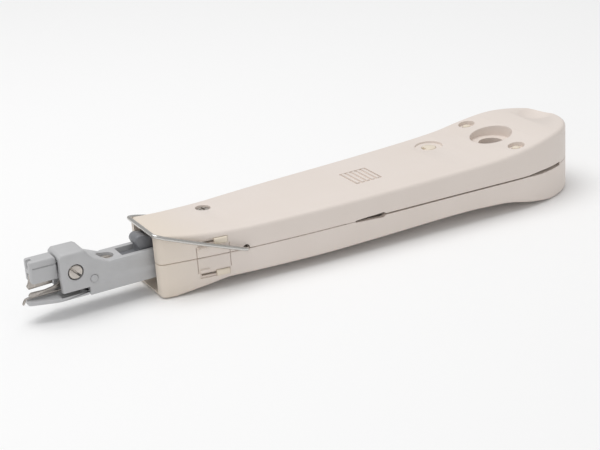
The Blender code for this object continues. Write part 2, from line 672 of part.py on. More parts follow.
def make_fold_outs(tool):
    reach = FOLD_X - FOLD_LENGTH
    half = FOLD_THICK / 2
    hub = arc((FOLD_X, -FOLD_Y), FOLD_HUB_R, -140, 120, 14)
    blade = hub + [(FOLD_X - 6, -9.8), (reach + 5, -9.6), (reach, -12.4), (reach + 1.5, -14.3),
                   (FOLD_X - 6, -14.7)]
    hook = [(x, -y) for x, y in hub]
    hook += [(FOLD_X - 6, 11.5), (reach + 4, 11.5), (reach, 11.9), (reach - 0.5, 13.4),
             (reach + 0.4, 14.4), (reach + 2.6, 14.4), (reach + 2.6, 13.4), (reach + 1.2, 13.2),
             (reach + 4, 12.9), (reach + 9, 14.3), (FOLD_X - 6, 14.7)]
    for name, outline, side in (("release_blade", blade, -1), ("wire_hook", hook, 1)):
        obj = tool.piece(name, plate(outline, "Z", (-half, half)), name, "steel")
        tool.cut(obj, [cylinder("Z", (FOLD_X, side * FOLD_Y), FOLD_PIN_R + GAP, (-2, 2), 20)], name)


def main():
    tool = Tool()
    make_shell(tool, "top_shell", 1)
    make_shell(tool, "bottom_shell", -1)
    make_handle_fittings(tool)
    make_arm(tool)
    make_nose(tool)
    make_blades(tool)
    make_head_fittings(tool)
    make_jaw(tool)
    make_latch(tool)
    between = (ARM_REAR + GAP, SEAT_FRONT - GAP)
    spring = coil((0, 0), SPRING_R, SPRING_WIRE_R, between, SPRING_TURNS, "X", 14, 0.7)
    tool.piece("main_spring", spring, "handle", "spring_steel")
    make_bail(tool)
    make_cut_lock(tool)
    make_fold_outs(tool)


main()
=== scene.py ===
"""Looks of the punch down tool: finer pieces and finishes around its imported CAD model.

Lengths are in millimetres, measured from the front face of the handle (+X runs to its rear end)
and from the plane where the two handle shells meet. at() turns a place into metres in the row frame.
"""

import math

import bmesh
import bpy
from mathutils import Matrix, Vector


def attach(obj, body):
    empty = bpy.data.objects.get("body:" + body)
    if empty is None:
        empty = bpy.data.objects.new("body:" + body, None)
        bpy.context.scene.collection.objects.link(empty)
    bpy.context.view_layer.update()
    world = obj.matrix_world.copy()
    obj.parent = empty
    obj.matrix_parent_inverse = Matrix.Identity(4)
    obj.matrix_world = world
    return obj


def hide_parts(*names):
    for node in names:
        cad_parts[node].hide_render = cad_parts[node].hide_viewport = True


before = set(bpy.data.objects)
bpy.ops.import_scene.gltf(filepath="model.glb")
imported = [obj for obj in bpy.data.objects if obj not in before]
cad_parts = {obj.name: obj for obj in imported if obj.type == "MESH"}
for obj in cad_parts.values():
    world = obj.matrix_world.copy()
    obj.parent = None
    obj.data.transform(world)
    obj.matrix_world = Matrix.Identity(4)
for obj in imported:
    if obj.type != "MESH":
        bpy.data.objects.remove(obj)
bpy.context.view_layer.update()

MM = 0.001
SHIFT = Vector((-51.85, 0.0, 10.1))  # from the measuring origin to the row frame

# Handle
LENGTH = 140.0
SEAM = 0.16  # the gap that shows between the shells
WALL = 1.8
ROOF = 1.4
EDGE = 1.25  # rounding between the broad faces and the walls
FRONT_HALF_WIDTH = 7.6
FRONT_CORNER = 1.5
BULB_X = 114.0
BULB_POWER = 2.3
SIDE_POINTS = ((0, 9.05), (15, 11.8), (30, 13.65), (50, 15.05), (90, 16.5), (114, 17.5))
TOP_POINTS = ((0, 8.7), (12, 7.2), (26, 6.45), (60, 6.55), (90, 7.0), (105, 7.55), (116, 8.85),
              (128, 10.4), (140, 10.7))
BOTTOM_POINTS = ((4, -10.1), (14, -8.4), (20, -7.45), (45, -7.5), (70, -7.0), (95, -6.4),
                 (109, -6.9), (118, -8.7), (126, -10.1))
HANG_X = 116.0
HANG_HOLE_R = 3.8
HANG_SEAT_R = 6.4
HANG_SEAT_Z = 6.4
FOLD_X = 116.0  # pivots of the fold-out tools
FOLD_Y = 12.8
FOLD_LENGTH = 54.0
FOLD_HALF_THICK = 0.25
FOLD_BORE_R = 1.5
FOLD_RECESS_R = 2.5
SLIT_FRONT_X = 58.0  # the slit that the fold-out tools swing through
SLIT_REAR_X = 131.0
FRONT_SCREW = (21.5, 7.0)
REAR_SCREW = (98.2, 7.4)
WELL_R = 2.2
DISH_R = 4.2
SCREW_BORE_R = 1.3
SCOOP = (135.5, 3.5)
GRIP_X = 69.0  # thumb grip: a shallow pocket with ribs across the handle
GRIP_FIRST_X = 66.0
GRIP_STEP = 1.7
STOP_PIN_X = 26.0

# Head
ARM_Y = 4.4
NOSE_Y = 2.3
CLAMP_SCREW = (-21.8, 2.6)
JAW_PIVOT = (-16.9, -0.45)
ADJUSTER_X = -11.7
LATCH_PIVOT = (7.5, -0.4)
JAW_BORE_R = 1.1
CLAMP_BORE_R = 1.5
LATCH_BORE_R = 1.3
CHANNEL_Y = (-2.8, 2.8)  # width of the arm's channel

# Bail and cut lock
BAIL_PIVOT = (24.5, 0.3)
BAIL_RISE = math.radians(18.6)
BAIL_WIRE_R = 0.54
LOCK_X = 17.3
LOCK_TURN = math.radians(9)
TAB_HEIGHTS = {1: (3.3, 5.1), -1: (-5.9, -4.3)}  # lower and upper edge, by shell
TAB_ROOM = 0.12


# Handling of objects and selections --------------------------------------------------------------

def at(x, y, z):
    """A measured place, in metres in the row frame."""
    return (Vector((x, y, z)) + SHIFT) * MM


def measured(point):
    """A point of a mesh as a measured place in millimetres."""
    return Vector(point) / MM - SHIFT


def only(obj):
    """Makes obj the one selected and active object."""
    bpy.ops.object.select_all(action="DESELECT")
    obj.select_set(True)
    bpy.context.view_layer.objects.active = obj


def take(name):
    """Names the primitive just added and puts its place into its mesh."""
    obj = bpy.context.object
    obj.name = name
    obj.data.name = name
    bpy.ops.object.transform_apply(location=True, rotation=True, scale=True)
    return obj


def edit(obj):
    only(obj)
    bpy.ops.object.mode_set(mode="EDIT")
    bpy.ops.mesh.select_mode(type="VERT")


def done():
    """Leaves edit mode with all faces pointing outwards."""
    bpy.ops.mesh.select_all(action="SELECT")
    bpy.ops.mesh.normals_make_consistent(inside=False)
    bpy.ops.object.mode_set(mode="OBJECT")


def pick(kind, rule):
    """In edit mode, selects the faces or edges whose middle place and element suit the rule."""
    bpy.ops.mesh.select_mode(type=kind)
    bpy.ops.mesh.select_all(action="DESELECT")
    bm = bmesh.from_edit_mesh(bpy.context.object.data)
    bm.normal_update()
    for item in bm.faces if kind == "FACE" else bm.edges:
        middle = sum((vert.co for vert in item.verts), Vector()) / len(item.verts)
        if rule(measured(middle), item):
            item.select_set(True)
    bmesh.update_edit_mesh(bpy.context.object.data)


def pull(x, y, z):
    """Extrudes the selected faces by a step in millimetres."""
    bpy.ops.mesh.extrude_region_move(TRANSFORM_OT_translate={"value": (x * MM, y * MM, z * MM)})


def widen(x, y, z, place):
    bpy.ops.transform.resize(value=(x, y, z), center_override=at(*place))


# Primitives and what they are shaped into ----------------------------------------------------------

def block(name, x, y, z):
    """A block between the two values given for each axis."""
    middle = ((x[0] + x[1]) / 2, (y[0] + y[1]) / 2, (z[0] + z[1]) / 2)
    size = (x[1] - x[0], y[1] - y[0], z[1] - z[0])
    bpy.ops.object.select_all(action="DESELECT")
    bpy.ops.mesh.primitive_cube_add(size=MM, location=at(*middle), scale=size)
    return take(name)


TURNS = {"X": (0, math.pi / 2, 0), "Y": (-math.pi / 2, 0, 0), "Z": (0, 0, 0)}


def bar(name, axis, centre, radius, span, sides=48, end_radius=None):
    """A round bar along an axis. centre gives the other two measures in X, Y, Z order."""
    half = (span[0] + span[1]) / 2
    place = {"X": (half, *centre), "Y": (centre[0], half, centre[1]), "Z": (*centre, half)}[axis]
    bpy.ops.object.select_all(action="DESELECT")
    bpy.ops.mesh.primitive_cone_add(
        vertices=sides, radius1=radius * MM, depth=(span[1] - span[0]) * MM,
        radius2=(radius if end_radius is None else end_radius) * MM,
        location=at(*place), rotation=TURNS[axis])
    return take(name)


def lathe(name, axis, centre, steps, sides=48):
    """A turned piece: from its first end, each step gives (distance along the axis, radius)."""
    (start, radius), (first, first_radius) = steps[0], steps[1]
    obj = bar(name, axis, centre, radius, (start, first), sides, first_radius)
    place = {"X": lambda a: (a, *centre), "Y": lambda a: (centre[0], a, centre[1]),
             "Z": lambda a: (*centre, a)}[axis]
    way = Vector(place(1)) - Vector(place(0))
    edit(obj)
    pick("FACE", lambda spot, face: face.normal.dot(way) > 0.99 and len(face.verts) > 4)
    before, before_radius = first, first_radius
    for along, radius in steps[2:]:
        pull(*(way * (along - before)))
        share = radius / before_radius
        factors = [1 if abs(part) > 0.5 else share for part in way]
        widen(*factors, place(along))
        before, before_radius = along, radius
    done()
    return obj


def trace(name, points):
    """Draws a line corner by corner from one point."""
    bpy.ops.object.select_all(action="DESELECT")
    bpy.ops.mesh.primitive_plane_add(size=MM, location=at(*points[0]))
    obj = take(name)
    edit(obj)
    bpy.ops.mesh.select_all(action="SELECT")
    bpy.ops.mesh.merge(type="CENTER")
    for start, end in zip(points, points[1:]):
        step = (Vector(end) - Vector(start)) * MM
        bpy.ops.mesh.extrude_vertices_move(TRANSFORM_OT_translate={"value": step})
    return obj


def plate(name, outline, axis, span):
    """A flat outline in the plane across the axis, filled and pulled to its thickness."""
    if axis == "Y":
        obj = trace(name, [(a, span[0], b) for a, b in outline])
    else:
        obj = trace(name, [(a, b, span[0]) for a, b in outline])
    bpy.ops.mesh.select_all(action="SELECT")
    bpy.ops.mesh.edge_face_add()
    step = span[1] - span[0]
    pull(0, step if axis == "Y" else 0, step if axis == "Z" else 0)
    done()
    return obj


def wire(name, points, radius, roundness=4):
    """A round wire along traced points."""
    obj = trace(name, points)
    bpy.ops.object.mode_set(mode="OBJECT")
    bpy.ops.object.convert(target="CURVE")
    obj = bpy.context.object
    obj.data.bevel_depth = radius * MM
    obj.data.bevel_resolution = roundness
    obj.data.use_fill_caps = True
    bpy.ops.object.convert(target="MESH")
    obj = bpy.context.object
    obj.name = name
    edit(obj)
    bpy.ops.mesh.select_all(action="SELECT")
    bpy.ops.mesh.remove_doubles(threshold=0.001 * MM)
    done()
    return obj


def clean(obj, distance=0.02):
    """Merges corners closer than the distance in millimetres."""
    edit(obj)
    bpy.ops.mesh.select_all(action="SELECT")
    bpy.ops.mesh.remove_doubles(threshold=distance * MM)
    done()


def combine(obj, tools, operation):
    for tool in tools:
        modifier = obj.modifiers.new(operation.lower(), "BOOLEAN")
        modifier.operation = operation
        modifier.solver = "EXACT"
        modifier.object = tool
        only(obj)
        bpy.ops.object.modifier_apply(modifier=modifier.name)
        bpy.data.objects.remove(tool, do_unlink=True)
        clean(obj, 0.004)


def cut(obj, *tools):
    combine(obj, tools, "DIFFERENCE")


def join(obj, *tools):
    combine(obj, tools, "UNION")


def facet(obj):
    """Splits the faces into triangles, so that every one is flat and cuts cleanly."""
    edit(obj)
    bpy.ops.mesh.select_all(action="SELECT")
    bpy.ops.mesh.quads_convert_to_tris(quad_method="FIXED")
    done()


def soften(obj, width, segments=2, angle=30):
    """Rounds every edge sharper than the angle."""
    modifier = obj.modifiers.new("soft edges", "BEVEL")
    modifier.width = width * MM
    modifier.segments = segments
    modifier.limit_method = "ANGLE"
    modifier.angle_limit = math.radians(angle)
    modifier.use_clamp_overlap = False
    modifier.harden_normals = False
    only(obj)
    bpy.ops.object.modifier_apply(modifier=modifier.name)


def round_some(obj, width, segments, rule):
    """Rounds the edges that suit the rule."""
    edit(obj)
    pick("EDGE", rule)
    bpy.ops.mesh.bevel(offset=width * MM, segments=segments, profile=0.5, clamp_overlap=False,
                       loop_slide=False)
    done()


def turn(obj, angle, axis, place):
    """Turns the whole mesh about a line along the axis through a place."""
    spot = at(*place)
    obj.data.transform(Matrix.Translation(spot) @ Matrix.Rotation(angle, 4, axis)
                       @ Matrix.Translation(-spot))


def finish(obj, body, material, slot, *nodes, smooth=35):
    """Shades the piece, gives it its finish and lets it ride on its body in place of CAD nodes."""
    only(obj)
    bpy.ops.object.shade_smooth_by_angle(angle=math.radians(smooth))
    obj.data.materials.clear()
    obj.data.materials.append(material)
    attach(obj, body)
    if nodes:
        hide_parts(*nodes)
    return obj


# Finishes --------------------------------------------------------------------------------------------

def colour(code):
    """sRGB hex as linear colour."""
    parts = [int(code[i:i + 2], 16) / 255 for i in (0, 2, 4)]
    linear = [c / 12.92 if c <= 0.04045 else ((c + 0.055) / 1.055) ** 2.4 for c in parts]
    return (*linear, 1.0)


def add_node(tree, kind, inputs=None, **settings):
    """Adds a node; an input is set to its value, or linked when it is another node's output."""
    made = tree.nodes.new(kind)
    for name, value in settings.items():
        setattr(made, name, value)
    for name, value in (inputs or {}).items():
        if isinstance(value, bpy.types.NodeSocket):
            tree.links.new(value, made.inputs[name])
        else:
            made.inputs[name].default_value = value
    return made


def per_mm(size):
    """The noise scale that gives patches of this size in millimetres."""
    return 1 / (size * MM)


def moulded(name, light, dark, patch, grain, depth, roughness, ior, aged=None):
    """Injection moulded plastic: nearly even colour, spark-eroded grain and a satin gloss."""
    material = bpy.data.materials.new(name)
    material.use_nodes = True
    tree = material.node_tree
    shader = tree.nodes["Principled BSDF"]
    where = add_node(tree, "ShaderNodeTexCoord").outputs["Object"]
    patches = add_node(tree, "ShaderNodeTexNoise",
                       {"Vector": where, "Scale": per_mm(patch), "Detail": 3.0})
    tint = add_node(tree, "ShaderNodeMix", {0: patches.outputs["Fac"], 6: colour(light), 7: colour(dark)},
                    data_type="RGBA").outputs[2]
    if aged:
        code, start, end = aged
        along = add_node(tree, "ShaderNodeSeparateXYZ", {"Vector": where}).outputs["X"]
        share = add_node(tree, "ShaderNodeMapRange",
                         {"Value": along, "From Min": at(start, 0, 0).x, "From Max": at(end, 0, 0).x,
                          "To Min": 1.0, "To Max": 0.0}, interpolation_type="SMOOTHSTEP")
        tint = add_node(tree, "ShaderNodeMix", {0: share.outputs["Result"], 6: tint, 7: colour(code)},
                        data_type="RGBA").outputs[2]
    fine = add_node(tree, "ShaderNodeTexNoise", {"Vector": where, "Scale": per_mm(grain), "Detail": 2.0})
    gloss = add_node(tree, "ShaderNodeMapRange",
                     {"Value": patches.outputs["Fac"], "From Min": 0.3, "From Max": 0.7,
                      "To Min": roughness[0], "To Max": roughness[1]})
    bump = add_node(tree, "ShaderNodeBump", {"Height": fine.outputs["Fac"], "Strength": 0.5,
                                             "Distance": depth * MM})
    tree.links.new(tint, shader.inputs["Base Color"])
    tree.links.new(gloss.outputs["Result"], shader.inputs["Roughness"])
    tree.links.new(bump.outputs["Normal"], shader.inputs["Normal"])
    shader.inputs["IOR"].default_value = ior
    return material


def metal(name, light, dark, streak, roughness, depth):
    """Bare or plated metal. streak gives the size in millimetres of its marks along X, Y and Z."""
    material = bpy.data.materials.new(name)
    material.use_nodes = True
    tree = material.node_tree
    shader = tree.nodes["Principled BSDF"]
    where = add_node(tree, "ShaderNodeTexCoord").outputs["Object"]
    drawn = add_node(tree, "ShaderNodeMapping",
                     {"Vector": where, "Scale": [per_mm(size) for size in streak]}).outputs["Vector"]
    marks = add_node(tree, "ShaderNodeTexNoise", {"Vector": drawn, "Scale": 1.0, "Detail": 3.0})
    tint = add_node(tree, "ShaderNodeMix", {0: marks.outputs["Fac"], 6: colour(light), 7: colour(dark)},
                    data_type="RGBA").outputs[2]
    gloss = add_node(tree, "ShaderNodeMapRange",
                     {"Value": marks.outputs["Fac"], "From Min": 0.3, "From Max": 0.7,
                      "To Min": roughness[0], "To Max": roughness[1]})
    bump = add_node(tree, "ShaderNodeBump", {"Height": marks.outputs["Fac"], "Strength": 0.4,
                                             "Distance": depth * MM})
    tree.links.new(tint, shader.inputs["Base Color"])
    tree.links.new(gloss.outputs["Result"], shader.inputs["Roughness"])
    tree.links.new(bump.outputs["Normal"], shader.inputs["Normal"])
    shader.inputs["Metallic"].default_value = 1.0
    return material


# ABS, moulded: warm cream with a satin gloss; it has yellowed a little towards the front.
cream_abs = moulded("cream_moulded_abs", "E9DFD8", "E2D7CE", 18, 0.35, 0.012, (0.40, 0.5), 1.53,
                    aged=("E6DACC", -1, 20))
# The same ABS on small parts, a shade yellower because they were moulded apart.
pale_abs = moulded("pale_moulded_abs", "EBE0CF", "E3D6C2", 6, 0.3, 0.01, (0.36, 0.46), 1.53)
# Glass-filled nylon, moulded: cool light grey with a faint cloudiness from the fibres.
grey_nylon = moulded("grey_glass_filled_nylon", "C3C3C4", "B7B7B8", 4, 0.3, 0.012, (0.34, 0.46), 1.53)
# Acetal, moulded: dark grey and a little slippery looking.
dark_acetal = moulded("dark_grey_acetal", "85868A", "737478", 4, 0.25, 0.01, (0.3, 0.42), 1.48)
# Nickel-plated spring wire, drawn: bright, with fine marks along it.
nickel_wire = metal("nickel_plated_wire", "DAD8D4", "BDBAB6", (6, 0.35, 0.35), (0.16, 0.28), 0.004)
# Hardened tool steel, ground: fine cross scratches and a slightly warm grey.
ground_steel = metal("ground_tool_steel", "C4BEB8", "9D9791", (0.25, 2.5, 2.5), (0.24, 0.4), 0.006)
# Zinc-plated screws: pale grey with a soft cloudy shine.
zinc_steel = metal("zinc_plated_steel", "D8D2CB", "B4ADA6", (1.2, 1.2, 1.2), (0.36, 0.5), 0.005)
# Oil-hardened spring wire: dark, drawn along its length.
spring_wire = metal("oil_hardened_spring_wire", "8D8F93", "6E7074", (3, 0.5, 0.5), (0.3, 0.45), 0.004)


# Outline of the handle -------------------------------------------------------------------------------

def smooth_curve(points):
    """A function that runs smoothly through the points, with no bulge between them."""
    xs = [point[0] for point in points]
    ys = [point[1] for point in points]
    rise = [(y1 - y0) / (x1 - x0) for x0, x1, y0, y1 in zip(xs, xs[1:], ys, ys[1:])]
    slope = [rise[0]]
    for before, after in zip(rise, rise[1:]):
        slope.append(2 * before * after / (before + after) if before * after > 0 else 0.0)
    slope.append(rise[-1])

    def value(x):
        x = min(max(x, xs[0]), xs[-1])
        i = max(j for j in range(len(xs) - 1) if x >= xs[j])
        step = xs[i + 1] - xs[i]
        t = (x - xs[i]) / step
        return (ys[i] * (2 * t ** 3 - 3 * t ** 2 + 1) + slope[i] * step * (t ** 3 - 2 * t ** 2 + t)
                + ys[i + 1] * (3 * t ** 2 - 2 * t ** 3) + slope[i + 1] * step * (t ** 3 - t ** 2))

    return value


side_width = smooth_curve(SIDE_POINTS)
top_height = smooth_curve(TOP_POINTS)
bottom_height = smooth_curve(BOTTOM_POINTS)


def handle_stations(inset):
    """(x, half width) from the front of the handle to its rear end, moved in by inset."""
    stations = []
    if inset == 0:
        for angle in range(0, 91, 15):
            blend = math.sin(math.radians(angle))
            x = FRONT_CORNER * (1 - math.cos(math.radians(angle)))
            stations.append((x, FRONT_HALF_WIDTH + (side_width(x) - FRONT_HALF_WIDTH) * blend))
    else:
        stations.append((inset, side_width(inset) - inset))
    stations += [(x, side_width(x) - inset) for x in range(4, 113, 3)]
    steps = 30
    for i in range(steps):
        angle = math.pi / 2 * (1 - i / steps)
        along = math.cos(angle) ** (2 / BULB_POWER)
        across = math.sin(angle) ** (2 / BULB_POWER)
        stations.append((BULB_X + (LENGTH - BULB_X - inset) * along,
                         (side_width(BULB_X) - inset) * across))
    return stations


def handle_half(name, sign, inset, thinner, start):
    """A solid half of the handle, pulled out of its front face station by station."""
    surface = top_height if sign > 0 else bottom_height
    stations = handle_stations(inset)
    x, width = stations[0]
    height = surface(x) - sign * thinner - start
    bpy.ops.object.select_all(action="DESELECT")
    bpy.ops.mesh.primitive_plane_add(size=MM, location=at(x, 0, start + height / 2), rotation=TURNS["X"])
    obj = take(name)
    edit(obj)
    bpy.ops.mesh.select_all(action="SELECT")
    widen(1, 2 * width, abs(height), (x, 0, start + height / 2))
    for next_x, next_width in stations[1:]:
        next_height = surface(next_x) - sign * thinner - start
        pull(next_x - x, 0, 0)
        widen(1, next_width / width, next_height / height, (next_x, 0, start))
        x, width, height = next_x, next_width, next_height
    done()
    return obj


def near_rim(sign):
    """A rule for the long edges between the broad face and the walls."""
    def rule(spot, edge):
        if len(edge.link_faces) != 2 or sign * spot.z < 3:
            return False
        tilts = sorted(abs(face.normal.z) for face in edge.link_faces)
        return tilts[0] < 0.3 and tilts[1] > 0.7
    return rule


# Handle pieces ---------------------------------------------------------------------------------------

def along_wall(obj):
    """Moves a shape made beside the place (0, 0, 0) to lie along the near wall, at the cut lock."""
    obj.data.transform(Matrix.Translation(-at(0, 0, 0)))
    obj.data.transform(Matrix.Rotation(-LOCK_TURN, 4, "Z"))
    obj.data.transform(Matrix.Translation(at(LOCK_X, -side_width(LOCK_X), 0)))
    return obj


def inner_posts(sign):
    """Ribs, posts and bosses that stay solid inside a shell."""
    span = (0, 14) if sign > 0 else (-14, 0)
    posts = [block("rib", (3, 36), (side * 5.35 - 0.65, side * 5.35 + 0.65), span) for side in (-1, 1)]
    posts.append(block("seat_wall", (69.5, 71.5), (-7.2, 7.2), span))
    posts.append(bar("front_post", "Z", FRONT_SCREW, 2.5, span))
    posts.append(bar("rear_post", "Z", REAR_SCREW, 3.6 if sign > 0 else 2.6, span))
    posts.append(bar("hang_tube", "Z", (HANG_X, 0), 7.8 if sign > 0 else 5.4, span))
    posts += [bar("fold_post", "Z", (FOLD_X, side * FOLD_Y), 3.1, span) for side in (-1, 1)]
    if sign > 0:
        posts.append(bar("scoop_boss", "Z", (135, 3), 7.0, span))
        for side in (-1, 1):
            posts.append(block("pocket_wall", (45, 94), sorted((side * 7.6, side * 8.4)), span))
            posts.append(block("rear_pocket_wall", (124.8, 135.5), sorted((side * 6.2, side * 7.0)), span))
    return posts


def shell_openings(sign):
    """Everything cut into both shells: mouth, hanging hole, pivots, tab tracks, slits and grooves."""
    tools = [block("mouth", (-1, 6.5), (-6.2, 6.2), (0, 7.3)) if sign > 0
             else block("mouth", (-1, 4), (-6.2, 6.2), (-8.8, 0)),
             bar("hanging_hole", "Z", (HANG_X, 0), HANG_HOLE_R, (-15, 15), 64)]
    for side in (-1, 1):
        tools.append(bar("pin_bore", "Z", (FOLD_X, side * FOLD_Y), FOLD_BORE_R, (-7.0, 12)))
        tools.append(bar("hub_room", "Z", (FOLD_X, side * FOLD_Y), 3.6, (-0.6, 0.6)))
    low, high = TAB_HEIGHTS[sign]
    tools.append(along_wall(block("tab_track", (-6.6, 2.05), (-2, 0.4), (low - TAB_ROOM, high + TAB_ROOM))))
    middle = (low + high) / 2
    tools.append(along_wall(block("neck_slit", (-6.1, 1.9), (-2, 2.6), (middle - 0.3, middle + 0.3))))
    for side in (-1, 1):
        y = sorted((side * 9.5, side * 20))
        tools.append(block("slit", (SLIT_FRONT_X, SLIT_REAR_X), y, (-FOLD_HALF_THICK, FOLD_HALF_THICK)))
        front = [(SLIT_FRONT_X, 0), (67.9, 0), (67.9, 0.35), (67.0, 0.8), (63.5, 0.6), (SLIT_FRONT_X, 0.3)]
        rear = [(117.5, 0), (SLIT_REAR_X, 0), (SLIT_REAR_X, 0.55), (122, 0.55), (117.5, 0.3)]
        for name, wedge in (("nick", front), ("rear_nick", rear)):
            tools.append(plate(name, [(x, sign * z) for x, z in wedge], "Y", y))
        tools.append(bar("bail_bore", "Y", BAIL_PIVOT, 1.0, sorted((side * 9, side * 17)), 32))
    tools.append(bar("stop_bore", "Y", (STOP_PIN_X, 0), 1.2, (-5.8, 5.8), 32))
    # Outline of the cut lock's panel: two thin grooves in the near wall
    for along, span in ((-7.1, (-4.4, 3.3)), (2.3, (-3.9, 3.0))):
        tools.append(along_wall(block("panel_groove", (along, along + 0.25), (-1, 0.4), span)))
    return tools


def top_openings():
    """What only the top shell has: hanging seat, pivot recesses, screw wells, scoop and grip pocket."""
    surface = top_height(FOLD_X)
    tools = [bar("hanging_seat", "Z", (HANG_X, 0), HANG_SEAT_R, (HANG_SEAT_Z, 15), 64)]
    for side in (-1, 1):
        recess = bar("pivot_recess", "Z", (FOLD_X, side * FOLD_Y), FOLD_RECESS_R, (surface - 1.2, 15))
        tools.append(recess)
    surface = top_height(FRONT_SCREW[0])
    tools.append(bar("screw_recess", "Z", FRONT_SCREW, WELL_R, (surface - 1.6, 10)))
    tools.append(bar("screw_bore", "Z", FRONT_SCREW, SCREW_BORE_R, (-1, 10)))
    surface = top_height(REAR_SCREW[0])
    tools.append(bar("plug_dish", "Z", REAR_SCREW, DISH_R, (surface - 0.55, 10), 64))
    tools.append(bar("plug_bore", "Z", REAR_SCREW, 2.3, (surface - 4.2, 10)))
    tools.append(bar("rear_bore", "Z", REAR_SCREW, SCREW_BORE_R, (-1, 10)))
    bowl = [(9.0, 0.6), (9.06, 1.15), (9.15, 1.8), (9.3, 2.54), (9.55, 3.42), (9.9, 4.33), (10.3, 5.16),
            (10.8, 6.0), (12.0, 7.5)]
    tools.append(lathe("scoop", "Z", SCOOP, bowl, 64))
    tools.append(block("grip_pocket", (65, 73.8), (-5.0, 5.0), (top_height(GRIP_X) - 0.4, 10)))
    return tools


def grip_ribs():
    """Five plain ribs across the handle, in a shallow pocket for the thumb."""
    middle = top_height(GRIP_X)
    ribs = []
    for i in range(5):
        x = GRIP_FIRST_X + GRIP_STEP * i
        rib = block("grip_rib", (x - 0.45, x + 0.45), (-4.5, 4.5), (middle - 1, middle + 0.2))
        round_some(rib, 0.3, 3, lambda spot, edge: spot.z > middle)
        ribs.append(rib)
    return ribs


def ring_rim(centre, radius, floor):
    """A rule for the upper rim of a round opening in the top of the handle."""
    def rule(spot, edge):
        across = math.hypot(spot.x - centre[0], spot.y - centre[1])
        upright = abs((edge.verts[0].co - edge.verts[1].co).normalized().z) > 0.5
        return abs(across - radius) < 0.08 and spot.z > floor and not upright
    return rule


def round_rims(shell):
    """Rounds the rims of the round openings in the top."""
    round_some(shell, 0.2, 3, ring_rim((HANG_X, 0), HANG_SEAT_R, 6.7))
    round_some(shell, 0.2, 3, ring_rim(REAR_SCREW, DISH_R, 6.8))
    for side in (-1, 1):
        round_some(shell, 0.15, 3, ring_rim((FOLD_X, side * FOLD_Y), FOLD_RECESS_R, 8.0))
    round_some(shell, 0.12, 3, ring_rim(FRONT_SCREW, WELL_R, 6.3))


def make_shell(name, sign):
    """The top shell for sign 1 or the bottom shell for sign -1."""
    seam = sign * SEAM / 2
    shell = handle_half(name, sign, 0, 0, seam)
    round_some(shell, EDGE, 5, near_rim(sign))
    round_some(shell, 0.22, 3, lambda spot, edge: abs(spot.z - seam) < 0.01
               and spot.x < 56 and (abs(spot.y) > 5 or spot.x < 0.01))
    facet(shell)
    hollow = handle_half("hollow", sign, WALL, ROOF, -sign * 1.0)
    facet(hollow)
    cut(hollow, *inner_posts(sign))
    cut(shell, hollow)
    cut(shell, *shell_openings(sign))
    if sign > 0:
        cut(shell, *top_openings())
        join(shell, *grip_ribs())
    else:
        cut(shell, bar("front_bore", "Z", FRONT_SCREW, SCREW_BORE_R, (-6.3, 1), 32),
            bar("rear_bore", "Z", REAR_SCREW, SCREW_BORE_R, (-5.3, 1), 32))
    # A small ledge on the cut lock's panel, beside the tab
    height = (2.2, 2.95) if sign > 0 else (-4.15, -3.35)
    ledge = block("panel_ledge", (-6.5, -3.9), (-0.6, 0.6), height)
    round_some(ledge, 0.15, 2, lambda spot, edge: spot.y < -0.5)
    join(shell, along_wall(ledge))
    clean(shell, 0.01)
    if sign > 0:
        round_rims(shell)
    finish(shell, "handle", cream_abs, "cream_plastic", name.replace("_look", ""))


def cross_head(name, x, y, head_top, shank_end):
    """An upright case screw: domed head with a cross recess."""
    obj = lathe(name, "Z", (x, y), [(shank_end, 0.7), (shank_end + 0.6, 1.0), (head_top - 1.0, 1.0),
                                    (head_top - 0.98, 1.9), (head_top - 0.35, 1.9),
                                    (head_top - 0.1, 1.6), (head_top, 1.0)])
    for across in (0, 1):
        reach = (1.15, 0.24) if across else (0.24, 1.15)
        cut(obj, block("cross", (x - reach[0], x + reach[0]), (y - reach[1], y + reach[1]),
                       (head_top - 0.5 - 0.05 * across, head_top + 1)))
    clean(obj)
    return obj


def make_handle_fittings():
    front = cross_head("front_screw_look", *FRONT_SCREW, top_height(FRONT_SCREW[0]) - 0.3, -5.8)
    finish(front, "handle", zinc_steel, "steel", "front_case_screw")
    x, y = REAR_SCREW
    rear = cross_head("rear_screw_look", x, y, top_height(x) - 2.7, -4.8)
    finish(rear, "handle", zinc_steel, "steel", "rear_case_screw")

    top = top_height(x) - 0.35
    plug = lathe("cover_plug_look", "Z", (x, y), [(top - 1.8, 2.0), (top - 1.6, 2.2), (top - 0.3, 2.2),
                                                  (top - 0.1, 2.1), (top, 1.9)])
    cut(plug, block("pry_notch", (x - 3.2, x - 1.3), (y - 0.8, y + 0.8), (top - 0.9, top + 1)))
    clean(plug)
    soften(plug, 0.08, 2)
    finish(plug, "handle", pale_abs, "cream_plastic", "screw_cover_plug")

    for name, node, side in (("blade_pin_look", "blade_pivot_pin", -1),
                             ("hook_pin_look", "hook_pivot_pin", 1)):
        top = top_height(FOLD_X) - 0.45
        pin = lathe(name, "Z", (FOLD_X, side * FOLD_Y), [(-6.7, 1.0), (-6.5, 1.2), (top - 0.35, 1.2),
                                                         (top - 0.1, 1.05), (top, 0.7)], 32)
        finish(pin, "handle", pale_abs, "cream_plastic", node)

    steps = [(-5.5, 0.7), (-5.3, 0.9), (5.3, 0.9), (5.5, 0.7)]
    stop = lathe("stop_pin_look", "Y", (STOP_PIN_X, 0), steps, 32)
    finish(stop, "handle", zinc_steel, "steel", "travel_stop_pin")
    seat = lathe("spring_seat_look", "X", (0, 0), [(67.8, 4.1), (68.0, 4.3), (69.0, 4.3), (69.2, 4.1)])
    cut(seat, bar("rod_bore", "X", (0, 0), 2.6, (60, 75)))
    finish(seat, "handle", zinc_steel, "steel", "spring_seat")


